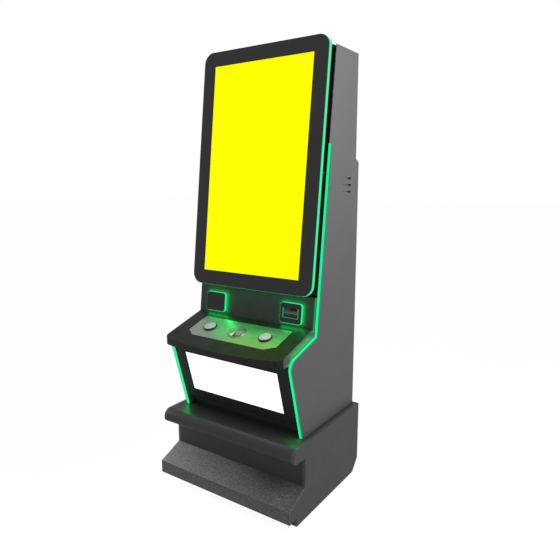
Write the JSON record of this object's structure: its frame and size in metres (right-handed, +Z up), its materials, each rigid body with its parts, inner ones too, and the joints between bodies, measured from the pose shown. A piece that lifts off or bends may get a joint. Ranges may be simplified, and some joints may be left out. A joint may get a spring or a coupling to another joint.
{
  "type": "slot machine",
  "caption": "Upright slot machine: portrait display swinging on a tall cabinet, sloped button deck, note mouth, drop-down lit belly door, lit edges and a base with footrest.",
  "frame": {"origin": "on the floor, at the centre of the machine's bounding box", "axes": "+X to the player's right, +Y to the back (the front faces -Y), +Z up"},
  "size_m": [0.7434, 0.651, 2.0192],
  "materials": {
    "cabinet_paint": "smooth satin dark grey paint on board",
    "base_paint": "smooth satin dark grey paint on board",
    "dark_sheet": "satin near-black powder coat",
    "rear_sheet": "fine-texture dark grey powder coat",
    "footrest_coat": "coarse speckled hammer-texture coat",
    "plinth_black": "matt black",
    "light_diffuser": "translucent diffuser lit green",
    "console_black": "fine-grained satin black moulding",
    "brushed_plate": "brushed lengthwise",
    "polished_metal": "turned and polished",
    "metallised_cap": "metallised plastic, turned look",
    "ring_black": "gloss black",
    "button_lens": "pale translucent lens",
    "window_black": "smoked gloss black",
    "device_black": "matt black device casing",
    "display_black": "black-backed gloss glass",
    "screen_lit": "evenly lit screen",
    "housing_black": "satin black powder coat",
    "belly_white": "lit white acrylic",
    "bright_steel": "zinc plated",
    "inner_steel": "plain sheet"
  },
  "bodies": {
    "cabinet": {"base_side_left": "base_paint", "base_side_right": "base_paint", "base_top": "dark_sheet", "base_front": "dark_sheet", "base_back": "rear_sheet", "base_floor": "base_paint", "footrest": "footrest_coat", "plinth": "plinth_black", "cabinet_bolts": "bright_steel", "cabinet_side_left": "cabinet_paint", "cabinet_side_right": "cabinet_paint", "cabinet_floor": "cabinet_paint", "cabinet_top": "dark_sheet", "upper_front": "dark_sheet", "upper_back": "rear_sheet", "lower_back": "rear_sheet", "toe_panel": "dark_sheet", "inner_shelf": "cabinet_paint", "side_light_left": "light_diffuser", "side_light_right": "light_diffuser", "deck_shell": "console_black", "deck_plate": "brushed_plate", "mid_panel": "console_black", "button_rings": "ring_black", "center_ring": "polished_metal", "button_switches": "device_black", "speakers": "device_black", "info_window": "window_black", "info_window_light": "light_diffuser", "bill_bezel": "window_black", "bill_bezel_light": "light_diffuser", "bill_mouth_light": "light_diffuser", "bill_validator": "device_black", "cash_box": "device_black", "belly_hinges": "bright_steel", "belly_pins": "bright_steel", "rear_door_pins": "bright_steel", "latch_strikes": "bright_steel", "logic_box": "inner_steel", "power_supply": "inner_steel", "power_inlet": "device_black", "fan_frame": "device_black", "display_hinge_brackets": "bright_steel", "display_hinge_pins": "bright_steel"},
    "display": {"display_bezel": "display_black", "screen_panel": "screen_lit", "display_light": "light_diffuser", "display_housing": "housing_black", "display_hinge_arms": "bright_steel"},
    "belly_door": {"belly_frame": "console_black", "belly_panel": "belly_white", "belly_backlight": "belly_white"},
    "belly_latch": {"belly_latch": "bright_steel"},
    "rear_door": {"rear_door": "rear_sheet"},
    "rear_lock": {"rear_lock": "bright_steel"},
    "display_latch": {"display_latch": "housing_black"},
    "button_left": {"button_cap_left": "button_lens"},
    "button_center": {"button_cap_center": "metallised_cap"},
    "button_right": {"button_cap_right": "button_lens"},
    "fan": {"fan_rotor": "device_black"}
  },
  "joints": [
    {"name": "display_swing", "type": "hinge", "parent": "cabinet", "child": "display", "pos_m": [-0.303, 0.04603, 1.47656], "axis": [0, -0.1201, -0.9928], "range_deg": [0, 90]},
    {"name": "belly_door_drop", "type": "hinge", "parent": "cabinet", "child": "belly_door", "pos_m": [0, -0.14668, 0.40095], "axis": [1, 0, 0], "range_deg": [0, 70]},
    {"name": "belly_latch_turn", "type": "hinge", "parent": "belly_door", "child": "belly_latch", "pos_m": [0.288, -0.20553, 0.67097], "axis": [0, -0.965, -0.2622], "range_deg": [0, 90]},
    {"name": "rear_door_swing", "type": "hinge", "parent": "cabinet", "child": "rear_door", "pos_m": [-0.308, 0.3165, 0.978], "axis": [0, 0, 1], "range_deg": [0, 100]},
    {"name": "rear_lock_turn", "type": "hinge", "parent": "rear_door", "child": "rear_lock", "pos_m": [0.285, 0.3045, 0.98], "axis": [0, -1, 0], "range_deg": [0, 90]},
    {"name": "display_latch_turn", "type": "hinge", "parent": "cabinet", "child": "display_latch", "pos_m": [0.309, 0.04582, 1.46651], "axis": [0, 0.9928, -0.1201], "range_deg": [0, 90]},
    {"name": "button_left_press", "type": "slide", "parent": "cabinet", "child": "button_left", "axis": [0, 0.2924, -0.9563], "range_m": [0, 0.003], "stiffness_N_per_m": 300, "springref_m": -0.002},
    {"name": "button_center_press", "type": "slide", "parent": "cabinet", "child": "button_center", "axis": [0, 0.2924, -0.9563], "range_m": [0, 0.003], "stiffness_N_per_m": 400, "springref_m": -0.003},
    {"name": "button_right_press", "type": "slide", "parent": "cabinet", "child": "button_right", "axis": [0, 0.2924, -0.9563], "range_m": [0, 0.003], "stiffness_N_per_m": 300, "springref_m": -0.002},
    {"name": "fan_spin", "type": "hinge", "parent": "cabinet", "child": "fan", "pos_m": [0.15, 0.282, 1.7], "axis": [0, 1, 0], "continuous": true}
  ]
}
